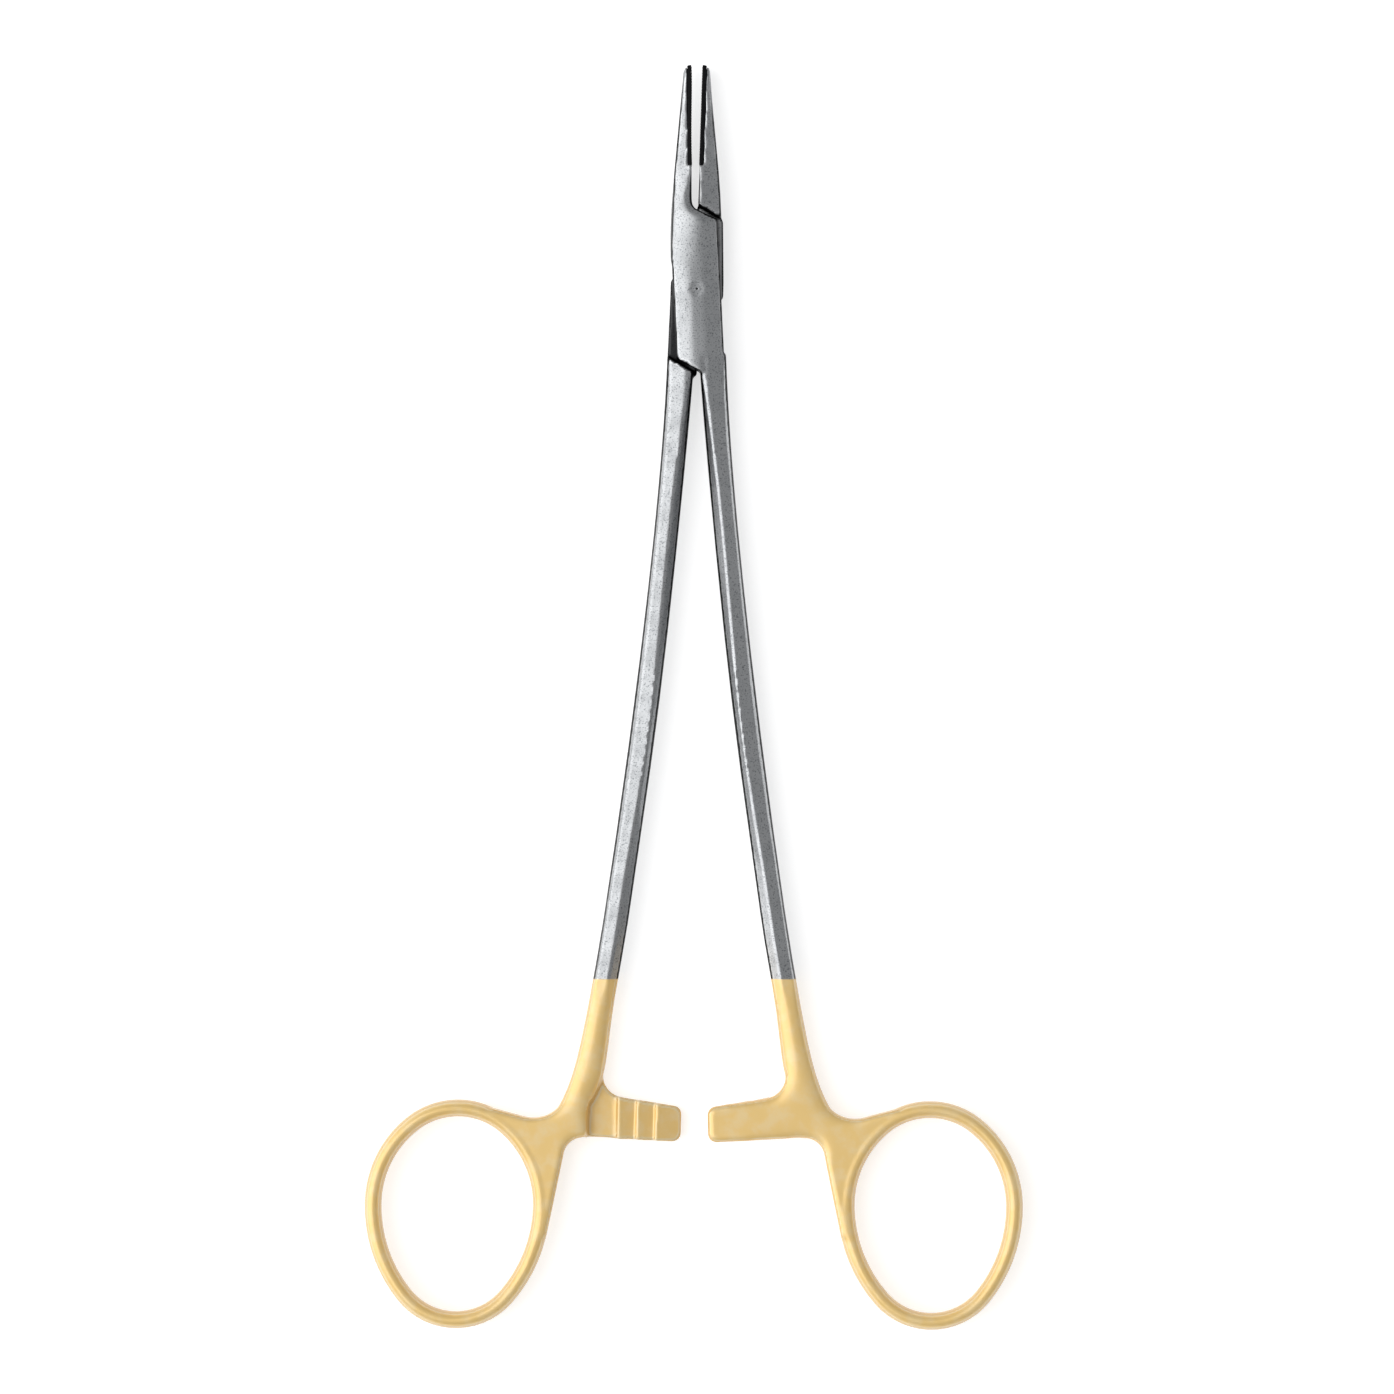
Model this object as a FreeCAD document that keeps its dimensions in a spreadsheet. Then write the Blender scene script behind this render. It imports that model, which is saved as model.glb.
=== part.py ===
"""Surgical needle holder with a box lock, faceted shanks, finger rings and a three-tooth ratchet.

The instrument lies flat: +Y points to the jaw tips, +X to the right and +Z up. The origin is the
pivot axis of the box lock at the underside of the cheeks. Each half is drawn with its jaw closed
and is then turned about the pivot to where it lies at rest, a little open.
All sizes are in millimetres and degrees.
"""
import FreeCAD, Part
import math
import os
import re
import Sketcher

SIZES = {
    # Rest position: each half is turned this far out of the closed position
    "maleRestAngle": 1.52,
    "femaleRestAngle": 1.12,
    # Box lock
    "boxThickness": 5.8,
    "boxHalfWidth": 3.4,
    "boxLean": 1.6,               # the cheeks cross the closed instrument a little aslant
    "cheekThickness": 1.7,
    "cheekReach": 10.1,           # pivot to the slanted end of a cheek
    "shoulderGap": 0.3,
    "shoulderAngle": 29.6,
    "ridgeFlat": 2.4,             # flat strip along the middle of a cheek
    "ridgeRounding": 10.0,        # rounds the upper edges of that strip
    "faceSlope": 9.0,             # the faces fall away from that strip
    "boxEdge": 0.45,
    "jawStep": 4.0,               # pivot to where the left jaw takes over from the cheeks
    "jawBlendSwell": 0.15,        # there it stands this much proud of the cheek's side
    "jawBlendSink": 0.06,         # and lies this much below the cheek's face
    "shankStep": 9.4,             # pivot to where the right shank takes over from the cheeks
    "slotInset": 0.45,            # slot wall beside the crotch, from the middle line
    "tangHalfWidth": 3.75,
    "tangClearance": 0.05,        # between the tang and each cheek
    "tangGap": 0.16,              # between the tang and the walls of the slot
    "tangWaist": 1.0,             # half the length of the tang's parallel sides
    "tangJawTaper": 0.3,
    "tangFootFlare": 0.18,
    "tangEndMargin": 0.4,
    "tangOverlap": 1.0,           # the tang runs this far into the jaw and the shank
    "tangNeck": 0.5,
    "stopAngle": 30.0,            # opening at which the tang meets the walls of the slot
    "pinRadius": 1.0,
    "pinRunning": 0.04,
    "pinRecess": 0.05,
    "pinDimple": 0.22,
    # Jaws
    "jawReach": 31.9,             # pivot to the tips
    "matingShift": 0.11,          # the mating line lies a little to the left
    "matingLean": 0.6,            # and leans to the left below the tips
    "tipGap": 0.01,
    "heelGap": 0.08,
    "insertLength": 14.25,
    "insertThickness": 0.66,
    "jawRelief": 0.1,
    "jawRootReach": 9.0,
    "jawRootWidth": 3.42,
    "jawRootHeight": 5.6,
    "jawRootRidge": 0.7,
    "jawOuterShare": 0.5,         # share of the mating line's shift that the broad sections follow
    "jawHeelWidth": 2.68,
    "jawForeWidth": 1.6,
    "jawTipWidth": 1.1,
    "jawForeRun": 4.9,            # tips to the section where the taper steepens
    "jawHeelHeight": 4.4,
    "jawForeHeight": 2.9,
    "jawTipHeight": 2.2,
    "jawEdge": 0.42,
    "jawRidgeInset": 0.25,
    "tipRounding": 0.85,
    "edgeBreak": 0.08,
    # Shanks: each section lies at a distance from the pivot, its middle beside the closing line
    "shankWidth": 3.53,
    "shankHeight": 4.3,
    "shankFall": 0.25,            # the top falls this much towards the outer side
    "shankOuterFacet": 0.6,
    "shankInnerFacet": 1.05,
    "facetDrop": 1.2,
    "rootOuter": 3.95,
    "rootInner": 0.1,
    "rootFacet": 0.3,
    "rootDrop": 0.2,
    "neckReach": 24.0,
    "neckOut": 2.73,
    "middleReach": 50.0,
    "middleOut": 4.74,
    "lowerReach": 76.0,
    "lowerOut": 7.48,
    # Lower end of the shanks, each section at a height above the middle of the finger ring
    "calfUp": 44.0,
    "calfOut": 8.81,
    "wristUp": 33.0,
    "wristOut": 10.34,
    "wristInnerFacet": 1.3,
    "wristOuterFacet": 0.45,
    "ankleUp": 27.0,
    "ankleOuter": 13.07,
    "ankleInner": 9.37,
    "flareUp": 21.0,
    "flareOuter": 14.24,
    "flareInner": 10.0,
    "toeUp": 13.7,
    "toeOuter": 17.0,
    "toeInner": 13.0,
    "toeSink": 0.2,               # the toe ends below the faces of the plate
    # Finger rings
    "ringCentreOut": 30.65,
    "ringCentreDown": 131.0,
    "ringHoleHalfWidth": 10.75,
    "ringHoleUp": 12.5,
    "ringHoleDown": 15.2,
    "ringBand": 2.45,
    "ringHeight": 4.3,
    "ringTopRounding": 9.2,
    "ringBottomRounding": 8.2,
    # Plate that carries the ratchet bar, placed from the middle of the finger ring
    "plateHeight": 4.1,
    "plateEdge": 0.5,
    "plateHeadUp": 23.5,
    "plateHeadInset": 0.8,
    "barTopRootUp": 16.2,
    "barTopEndUp": 14.65,
    "barBottomEndUp": 9.7,
    "barBottomRootUp": 10.1,
    "barRootOut": 10.15,
    "barFillet": 3.4,
    "barEndRounding": 1.2,
    "maleBarOverrun": 0.87,       # the bars run past the middle line when the jaws are closed
    "femaleBarOverrun": 0.77,
    "crotchOut": 15.25,
    "crotchFillet": 2.8,
    "flankInset": 12.75,
    "flankBelow": 4.5,
    "saddleOut": 16.8,
    "saddleUp": 11.6,
    "saddleFillet": 5.0,
    "saddleRingInset": 4.45,
    "saddleRingUp": 13.9,
    # Ratchet
    "toothStep": 12.3,            # middle line to where the bar is cut down to half its depth
    "toothFirst": 8.2,
    "toothPitch": 2.7,
    "toothRise": 0.8,
    # How far the cutting outlines stand clear of what they cut
    "cutMargin": 3.0,
}
TOOTH_COUNT = 3
RING_FACETS = 16                      # narrow flats round the section of the band
NEAR = 0.01                           # points closer than this are taken as one
RING_CHORDS = (-15, 10, 35, 60, 80)   # degrees round the band, where the plate ends inside it

doc = FreeCAD.newDocument("needle_holder")
sheet = doc.addObject("Spreadsheet::Sheet", "Sizes")
for row, (alias, value) in enumerate(SIZES.items(), start=1):
    sheet.set(f"A{row}", alias)
    sheet.set(f"B{row}", str(value))
    sheet.setAlias(f"B{row}", alias)
doc.recompute()

MID = "boxThickness/2"
SHOULDER_REACH = "(cheekReach+shoulderGap)"
SLOT_HEIGHT = "(boxThickness-2*cheekThickness)"
INSERT_HEEL = "(jawReach-insertLength)"
TANG_HEIGHT = f"({SLOT_HEIGHT}-2*tangClearance)"


def bound(expression):
    """Point every size named in an expression at its cell."""
    return re.sub(r"[A-Za-z]\w*", lambda word: f"Sizes.{word[0]}" if word[0] in SIZES else word[0],
                  str(expression))


def amount(expression):
    """The present value of an expression."""
    result = sheet.evalExpression(bound(expression))
    return float(getattr(result, "Value", result))


def role_plane(body, role):
    return next(item for item in body.Origin.OriginFeatures if item.Role == role)


def new_sketch(body, name, role, lift="0", turn=None):
    """An empty sketch on an origin plane, lifted along its normal and turned about its own y axis."""
    sketch = body.newObject("Sketcher::SketchObject", name)
    sketch.AttachmentSupport = [(role_plane(body, role), "")]
    sketch.MapMode = "FlatFace"
    if turn is not None:
        spin = FreeCAD.Rotation(FreeCAD.Vector(0, 1, 0), amount(turn))
        sketch.AttachmentOffset = FreeCAD.Placement(FreeCAD.Vector(), spin)
        sketch.setExpression("AttachmentOffset.Rotation.Angle", bound(turn))
    sketch.setExpression("AttachmentOffset.Base.z", bound(lift))
    return sketch


def fix_point(sketch, geometry, end, x, y):
    """Hold one end of a line or arc, or a centre, at bound coordinates."""
    for kind, expression in (("DistanceX", x), ("DistanceY", y)):
        index = sketch.addConstraint(Sketcher.Constraint(kind, -1, 1, geometry, end, amount(expression)))
        sketch.setExpression(f"Constraints[{index}]", bound(expression))


def polygon_sketch(body, name, role, points, lift="0", turn=None):
    """A closed outline of straight lines through bound points."""
    sketch = new_sketch(body, name, role, lift, turn)
    corners = [FreeCAD.Vector(amount(x), amount(y), 0) for x, y in points]
    for here, after in zip(corners, corners[1:] + corners[:1]):
        sketch.addGeometry(Part.LineSegment(here, after), False)
    for index, (x, y) in enumerate(points):
        sketch.addConstraint(Sketcher.Constraint("Coincident", index, 2, (index + 1) % len(points), 1))
        fix_point(sketch, index, 1, x, y)
    return sketch


def add_circle(sketch, radius):
    """A circle about the pivot, of a bound radius."""
    circle = Part.Circle(FreeCAD.Vector(), FreeCAD.Vector(0, 0, 1), amount(radius))
    geometry = sketch.addGeometry(circle, False)
    sketch.addConstraint(Sketcher.Constraint("Coincident", geometry, 3, -1, 1))
    index = sketch.addConstraint(Sketcher.Constraint("Radius", geometry, amount(radius)))
    sketch.setExpression(f"Constraints[{index}]", bound(radius))


def pad(body, name, sketch, length, centred=True):
    feature = body.newObject("PartDesign::Pad", name)
    feature.Profile = sketch
    feature.Midplane = centred
    feature.setExpression("Length", bound(length))
    return feature


def pocket(body, name, sketch, length, centred=True):
    """Cut an outline out of the body, and make sure that it takes something away."""
    doc.recompute()
    before = body.Shape.Volume
    feature = body.newObject("PartDesign::Pocket", name)
    feature.Profile = sketch
    feature.Midplane = centred
    feature.setExpression("Length", bound(length))
    doc.recompute()
    if feature.Shape.isNull() or not feature.Shape.Volume < before:
        raise RuntimeError(f"{name} cuts nothing")
    return feature


def loft(body, name, sketches):
    feature = body.newObject("PartDesign::AdditiveLoft", name)
    feature.Profile = sketches[0]
    feature.Sections = sketches[1:]
    feature.Ruled = False
    return feature


def dress(body, kind, name, base, picks, size):
    """A fillet or chamfer on the edges of the base that a test picks out."""
    doc.recompute()
    names = [f"Edge{index}" for index, edge in enumerate(base.Shape.Edges, start=1) if picks(edge)]
    if not names:
        raise RuntimeError(f"{name} finds no edge")
    feature = body.newObject(kind, name)
    feature.Base = (base, names)
    feature.setExpression("Radius" if kind.endswith("Fillet") else "Size", bound(size))
    return feature


def upright_at(x, y):
    """A test for upright edges that stand at a point of the plan."""
    corner = FreeCAD.Vector(amount(x), amount(y), 0)

    def test(edge):
        first, last = edge.Vertexes[0].Point, edge.Vertexes[-1].Point
        flat = FreeCAD.Vector(first.x, first.y, 0)
        return abs(first.z - last.z) > NEAR and (flat - corner).Length < NEAR
    return test


def turned(x, y, angle):
    """A point turned clockwise about the pivot."""
    return (f"(({x})*cos({angle})+({y})*sin({angle}))", f"(({y})*cos({angle})-({x})*sin({angle}))")


def rib_section(inner, outer, height, ridge, inner_edge, outer_edge, fall):
    """Ten corners of a faceted bar: across from its inner to its outer side, about the mid depth."""
    inner_facet, inner_drop = inner_edge
    outer_facet, outer_drop = outer_edge
    upper = [
        (inner, f"({height})/2-({inner_drop})"),
        (f"({inner})+({inner_facet})", f"({height})/2"),
        (ridge, f"({height})/2"),
        (f"({outer})-({outer_facet})", f"({height})/2-({fall})"),
        (outer, f"({height})/2-({fall})-({outer_drop})"),
    ]
    lower = [(x, f"-({z})") for x, z in reversed(upper)]
    return [(x, f"{MID}+({z})") for x, z in upper + lower]


def across(points, side):
    """Put a section or outline on one side of the middle line."""
    return [(f"{side}*({x})", y) for x, y in points]


def above_ring(up):
    """Height of a point above the pivot, from its height above the middle of the finger ring."""
    return f"(({up})-ringCentreDown)"


def seam(reach):
    """Sideways place of the mating line, which leans to the left below the tips."""
    return f"(-matingShift-(jawReach-({reach}))*tan(matingLean))"


def beside_seam(distance, side, reach):
    """Sideways place at a distance from the mating line."""
    return f"({seam(reach)}+{side}*({distance}))"


def add_jaw(body, side):
    """The jaw from the box to its rounded tip, its inner face along the mating line."""
    fore = "(jawReach-jawForeRun)"
    fore_gap = "(tipGap+(heelGap-tipGap)*jawForeRun/insertLength)"
    stations = []
    if side < 0:
        lean = "jawStep*tan(boxLean)"
        stations.append(("jaw_blend", "jawStep", "0", f"(boxHalfWidth+{lean}+jawBlendSwell)",
                         "(boxThickness-2*jawBlendSink)", f"ridgeFlat/2+{lean}", "boxEdge"))
    root_inner = "0" if side < 0 else f"(heelGap+{seam('jawRootReach')})"
    root_outer = f"(jawRootWidth+{side}*{seam('jawRootReach')}*jawOuterShare)"
    stations.append(("jaw_root", "jawRootReach", root_inner, root_outer, "jawRootHeight", "jawRootRidge", "boxEdge"))
    for name, reach, width, height, gap, share in (
            ("jaw_heel", INSERT_HEEL, "jawHeelWidth", "jawHeelHeight", "heelGap", "jawOuterShare"),
            ("jaw_fore", fore, "jawForeWidth", "jawForeHeight", fore_gap, 1),
            ("jaw_tip", "jawReach", "jawTipWidth", "jawTipHeight", "tipGap", 1)):
        inner = f"({gap}+{side}*{seam(reach)})"
        outer = f"({width}+{side}*{seam(reach)}*{share})"
        stations.append((name, reach, inner, outer, height, f"{inner}+jawRidgeInset", "jawEdge"))
    sketches = []
    for name, reach, inner, outer, height, ridge, edge in stations:
        fall = f"({outer}-{edge}-({ridge}))*tan(faceSlope)"
        section = rib_section(inner, outer, height, ridge, ("edgeBreak", "edgeBreak"), (edge, edge), fall)
        sketches.append(polygon_sketch(body, name, "XZ_Plane", across(section, side), f"-({reach})"))
    loft(body, "jaw", sketches)
    return round_tip(body, side)


def round_tip(body, side):
    """Round the outer corner of the tip, seen from above."""
    edge = f"({side}*jawTipWidth+{seam('jawReach')})"
    out = f"({edge}-{side}*tipRounding)"
    up = "(jawReach-tipRounding)"
    far_out = f"({edge}+{side}*cutMargin)"
    far_up = "(jawReach+cutMargin)"
    corners = [(edge, up), (far_out, up), (far_out, far_up), (out, far_up), (out, "jawReach")]
    sketch = new_sketch(body, "tip_outline", "XY_Plane", MID)
    points = [FreeCAD.Vector(amount(x), amount(y), 0) for x, y in corners]
    for index, (here, after) in enumerate(zip(points, points[1:])):
        sketch.addGeometry(Part.LineSegment(here, after), False)
        fix_point(sketch, index, 1, *corners[index])
    fix_point(sketch, len(points) - 2, 2, *corners[-1])
    for index in range(len(points) - 2):
        sketch.addConstraint(Sketcher.Constraint("Coincident", index, 2, index + 1, 1))
    centre = FreeCAD.Vector(amount(out), amount(up), 0)
    circle = Part.Circle(centre, FreeCAD.Vector(0, 0, 1), amount("tipRounding"))
    start = 0 if side > 0 else math.pi / 2
    arc = sketch.addGeometry(Part.ArcOfCircle(circle, start, start + math.pi / 2), False)
    rule = sketch.addConstraint(Sketcher.Constraint("Radius", arc, amount("tipRounding")))
    sketch.setExpression(f"Constraints[{rule}]", bound("tipRounding"))
    first, last = (1, 2) if side > 0 else (2, 1)
    sketch.addConstraint(Sketcher.Constraint("Coincident", arc, first, 0, 1))
    sketch.addConstraint(Sketcher.Constraint("Coincident", arc, last, len(points) - 2, 2))
    return pocket(body, "tip_rounding", sketch, "2*boxThickness")


def add_shank(body, side):
    """The faceted shank from the box to where it runs out in the plate."""
    ridge = "(ridgeFlat/2+shankStep*tan(boxLean))"
    stations = [("shank_root", "shankStep", "rootInner", "rootOuter", "boxThickness", ridge,
                 ("rootFacet", "rootDrop"), ("boxEdge", "boxEdge"), f"(rootOuter-boxEdge-{ridge})*tan(faceSlope)")]
    slim = (("shankInnerFacet", "facetDrop"), ("shankOuterFacet", "facetDrop"))
    broad = (("wristInnerFacet", "facetDrop"), ("wristOuterFacet", "facetDrop"))
    for name, reach, middle, edges in (
            ("shank_neck", "neckReach", "neckOut", slim),
            ("shank_middle", "middleReach", "middleOut", slim),
            ("shank_lower", "lowerReach", "lowerOut", slim),
            ("shank_calf", f"-{above_ring('calfUp')}", "calfOut", broad),
            ("shank_wrist", f"-{above_ring('wristUp')}", "wristOut", broad)):
        inner = f"({middle}-shankWidth/2)"
        stations.append((name, reach, inner, f"({middle}+shankWidth/2)", "shankHeight",
                         f"{inner}+{edges[0][0]}+edgeBreak", *edges, "shankFall"))
    for name, up, inner, outer, height in (
            ("shank_ankle", "ankleUp", "ankleInner", "ankleOuter", "shankHeight"),
            ("shank_flare", "flareUp", "flareInner", "flareOuter", "shankHeight"),
            ("shank_toe", "toeUp", "toeInner", "toeOuter", "plateHeight-toeSink")):
        stations.append((name, f"-{above_ring(up)}", inner, outer, height,
                         f"{inner}+wristInnerFacet+edgeBreak", *broad, "shankFall"))
    sketches = []
    for name, reach, *shape in stations:
        sketches.append(polygon_sketch(body, name, "XZ_Plane", across(rib_section(*shape), -side), reach))
    return loft(body, "shank", sketches)


def add_plate(body, side, overrun):
    """The plate between shank and ring with the ratchet bar, its edges bevelled all round."""
    corners = [
        ("flareInner+plateHeadInset", above_ring("plateHeadUp")),
        ("barRootOut", above_ring("barTopRootUp")),
        (f"-{overrun}", above_ring("barTopEndUp")),
        (f"-{overrun}", above_ring("barBottomEndUp")),
        ("crotchOut", above_ring("barBottomRootUp")),
        ("ringCentreOut-flankInset", above_ring("-flankBelow")),
    ]
    middle_half = "(ringHoleHalfWidth+ringBand/2)"
    for angle in RING_CHORDS:
        rise = "(ringHoleUp+ringBand/2)" if angle > 0 else "(ringHoleDown+ringBand/2)"
        corners.append((f"ringCentreOut-{middle_half}*cos({angle})", above_ring(f"{rise}*sin({angle})")))
    corners += [
        ("ringCentreOut-saddleRingInset", above_ring("saddleRingUp")),
        ("saddleOut", above_ring("saddleUp")),
        ("flareOuter-plateHeadInset", above_ring("plateHeadUp")),
    ]
    outline = across(corners, -side)
    sketch = polygon_sketch(body, "plate_outline", "XY_Plane", outline, MID)
    feature = pad(body, "plate", sketch, "plateHeight")
    for name, corner, size in (("bar_fillet", 1, "barFillet"), ("bar_end_top", 2, "barEndRounding"),
                               ("bar_end_bottom", 3, "barEndRounding"), ("crotch_fillet", 4, "crotchFillet"),
                               ("saddle_fillet", -2, "saddleFillet")):
        feature = dress(body, "PartDesign::Fillet", name, feature, upright_at(*outline[corner]), size)
    top = amount(f"{MID}+plateHeight/2")
    bottom = amount(f"{MID}-plateHeight/2")

    def rim(edge):
        heights = [vertex.Point.z for vertex in edge.Vertexes]
        level = max(heights) - min(heights) < NEAR
        return level and min(abs(heights[0] - top), abs(heights[0] - bottom)) < NEAR
    return dress(body, "PartDesign::Chamfer", "plate_bevel", feature, rim, "plateEdge")


def add_ratchet(body, side, face, overrun):
    """Cut the bar to half its depth with sawteeth; face is +1 for teeth on top, -1 for underneath."""
    low = f"{MID}-{face}*toothRise/2"
    high = f"{MID}+{face}*toothRise/2"
    far = f"{MID}+{face}*plateHeight"
    points = [("toothStep", far), ("toothStep", low)]
    for tooth in range(TOOTH_COUNT):
        crest = f"(toothFirst-{tooth}*toothPitch)"
        points.append((crest, low))
        points.append((crest, high))
    last = f"(toothFirst-{TOOTH_COUNT - 1}*toothPitch)"
    end = f"({overrun}+cutMargin)"
    fall = f"toothRise/toothPitch*({last}+{end})"
    points.append((f"-{end}", f"{high}-{face}*{fall}"))
    points.append((f"-{end}", far))
    sketch = polygon_sketch(body, "ratchet_profile", "XZ_Plane", across(points, -side),
                            f"-{above_ring('(barTopEndUp+barBottomEndUp)/2')}")
    return pocket(body, "ratchet_teeth", sketch, "2*(barTopRootUp-barBottomEndUp)")


def add_oval(sketch, centre, half, caps, first=0):
    """A closed oval of tangent arcs; caps gives the rise and the rounding of its upper and lower end."""
    (upper_rise, upper), (lower_rise, lower) = caps
    joints = []
    for rise, cap in caps:
        flank = f"((({half})^2+(({rise})-({cap}))^2-({cap})^2)/(2*(({half})-({cap}))))"
        joints.append((flank, f"(({flank}-({half}))*({cap})/({flank}-({cap})))",
                       f"({flank}*(({rise})-({cap}))/({flank}-({cap})))"))
    (flank_up, up_x, up_y), (flank_down, down_x, down_y) = joints
    arcs = [
        ((half, "0"), flank_up, (f"{half}-{flank_up}", "0")),
        ((up_x, up_y), upper, ("0", f"({upper_rise})-({upper})")),
        ((f"-{up_x}", up_y), flank_up, (f"{flank_up}-{half}", "0")),
        ((f"-({half})", "0"), flank_down, (f"{flank_down}-{half}", "0")),
        ((f"-{down_x}", f"-{down_y}"), lower, ("0", f"({lower})-({lower_rise})")),
        ((down_x, f"-{down_y}"), flank_down, (f"{half}-{flank_down}", "0")),
    ]
    arcs = arcs[first:] + arcs[:first]

    def place(point):
        return f"({centre[0]}+({point[0]}))", f"({centre[1]}+({point[1]}))"

    def vector(point):
        x, y = place(point)
        return FreeCAD.Vector(amount(x), amount(y), 0)
    base = sketch.GeometryCount
    for index, (start, radius, middle) in enumerate(arcs):
        end = arcs[(index + 1) % len(arcs)][0]
        origin = vector(middle)
        turn = [math.atan2((vector(point) - origin).y, (vector(point) - origin).x) for point in (start, end)]
        circle = Part.Circle(origin, FreeCAD.Vector(0, 0, 1), amount(radius))
        arc = sketch.addGeometry(Part.ArcOfCircle(circle, turn[0], turn[1]), False)
        rule = sketch.addConstraint(Sketcher.Constraint("Radius", arc, amount(radius)))
        sketch.setExpression(f"Constraints[{rule}]", bound(radius))
        fix_point(sketch, arc, 1, *place(start))
    for index in range(len(arcs)):
        after = base + (index + 1) % len(arcs)
        sketch.addConstraint(Sketcher.Constraint("Coincident", base + index, 2, after, 1))


def add_ring(body, side):
    """The finger ring: an oval band, ground in narrow flats, whose path starts on its inner side."""
    path = new_sketch(body, "ring_path", "XY_Plane", MID)
    centre = f"({-side}*ringCentreOut)"
    half = "(ringHoleHalfWidth+ringBand/2)"
    caps = [("(ringHoleUp+ringBand/2)", "(ringTopRounding+ringBand/2)"),
            ("(ringHoleDown+ringBand/2)", "(ringBottomRounding+ringBand/2)")]
    add_oval(path, (centre, above_ring("0")), half, caps, 0 if side > 0 else 3)
    angles = [360 * corner / RING_FACETS for corner in range(RING_FACETS)]
    section = [(f"{centre}-{side}*{half}+ringBand/2*cos({angle})", f"{MID}+ringHeight/2*sin({angle})")
               for angle in angles]
    profile = polygon_sketch(body, "ring_section", "XZ_Plane", section, "ringCentreDown")
    ring = body.newObject("PartDesign::AdditivePipe", "ring")
    ring.Profile = profile
    ring.Spine = path
    return ring


def new_body(name, side=None):
    """A body turned about the pivot to the rest position; side is +1 for the male half, -1 for the female."""
    body = doc.addObject("PartDesign::Body", name)
    body.Label = name
    if hasattr(body, "AllowCompound"):
        body.AllowCompound = True
    if side is not None:
        axis = FreeCAD.Vector(0, 0, -side)
        angle = "maleRestAngle" if side > 0 else "femaleRestAngle"
        body.Placement = FreeCAD.Placement(FreeCAD.Vector(), FreeCAD.Rotation(axis, amount(angle)))
        body.setExpression("Placement.Rotation.Angle", bound(angle))
    return body


def roof_section(recess):
    """Twelve corners of the box across its width: a flat strip with sloping sides and broken edges."""
    fall = "(boxHalfWidth-boxEdge-ridgeFlat/2)*tan(faceSlope)"
    right = [
        ("ridgeFlat/2", "0"),
        ("boxHalfWidth-boxEdge", fall),
        ("boxHalfWidth", f"{fall}+boxEdge"),
    ]
    upper = [(f"-({x})", f"boxThickness-({recess})-({z})") for x, z in reversed(right)]
    upper += [(x, f"boxThickness-({recess})-({z})") for x, z in right]
    lower = [(x, f"boxThickness-({z})") for x, z in reversed(upper)]
    return upper + lower


def slanted(reach, x):
    """Height above the pivot, at x, of a line whose normal leans by the shoulder angle."""
    return f"(({reach})-({x})*sin(shoulderAngle))/cos(shoulderAngle)"


def stop_wall(distance, x):
    """Height above the pivot, at x, of the wall that the tang's side meets at the full opening."""
    return f"(({distance})+({x})*cos(stopAngle))/sin(stopAngle)"


def point_mirrored(points):
    """An outline's half together with the same half turned by half a turn about the pivot."""
    return points + [(f"-({x})", f"-({y})") for x, y in points]


def add_box(body):
    """Both cheeks of the box as one faceted bar, cut off along the slanted shoulders."""
    section = polygon_sketch(body, "box_section", "XZ_Plane", roof_section("0"), "0", "boxLean")
    bar = pad(body, "box", section, "2*(cheekReach+cutMargin)")
    top = amount("boxThickness")

    def ridge(edge):
        first, last = edge.Vertexes[0].Point, edge.Vertexes[-1].Point
        return abs(first.z - top) < NEAR and abs(last.z - top) < NEAR and abs(first.y - last.y) > top
    dress(body, "PartDesign::Fillet", "ridge_rounding", bar, ridge, "ridgeRounding")
    wide = "(boxHalfWidth+cutMargin)"
    far = "(cheekReach+3*cutMargin)"
    for name, sign, step in (("top", 1, "jawStep"), ("bottom", -1, "shankStep")):
        corners = [
            (f"-{wide}", step),
            ("-slotInset", step),
            ("-slotInset", slanted("cheekReach", "-slotInset")),
            (wide, slanted("cheekReach", wide)),
            (wide, far),
            (f"-{wide}", far),
        ]
        outline = [(f"{sign}*({x})", f"{sign}*({y})") for x, y in corners]
        sketch = polygon_sketch(body, f"box_{name}_end", "XY_Plane", outline, MID)
        pocket(body, f"box_{name}_cut", sketch, "2*boxThickness")


def cut_slot(body):
    """The slot between the cheeks, open on both sides, with the two walls that stop the tang."""
    width = "(tangHalfWidth+tangGap)"
    side_x = f"-({width}+cutMargin)"
    half = [
        (side_x, stop_wall(width, side_x)),
        ("-slotInset", stop_wall(width, "-slotInset")),
        ("-slotInset", "cheekReach+cutMargin"),
        (f"{width}+cutMargin", "cheekReach+cutMargin"),
    ]
    sketch = polygon_sketch(body, "slot_outline", "XY_Plane", point_mirrored(half), MID)
    return pocket(body, "slot", sketch, SLOT_HEIGHT)


def cut_shoulders(body):
    """Clear the box of everything but the tang, between the two slanted shoulders."""
    wide = "(boxHalfWidth+cutMargin)"
    half = [
        (f"-{wide}", slanted(SHOULDER_REACH, f"-{wide}")),
        (wide, slanted(SHOULDER_REACH, wide)),
    ]
    sketch = polygon_sketch(body, "shoulder_outline", "XY_Plane", point_mirrored(half), MID)
    return pocket(body, "shoulders", sketch, "2*boxThickness")


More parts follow.
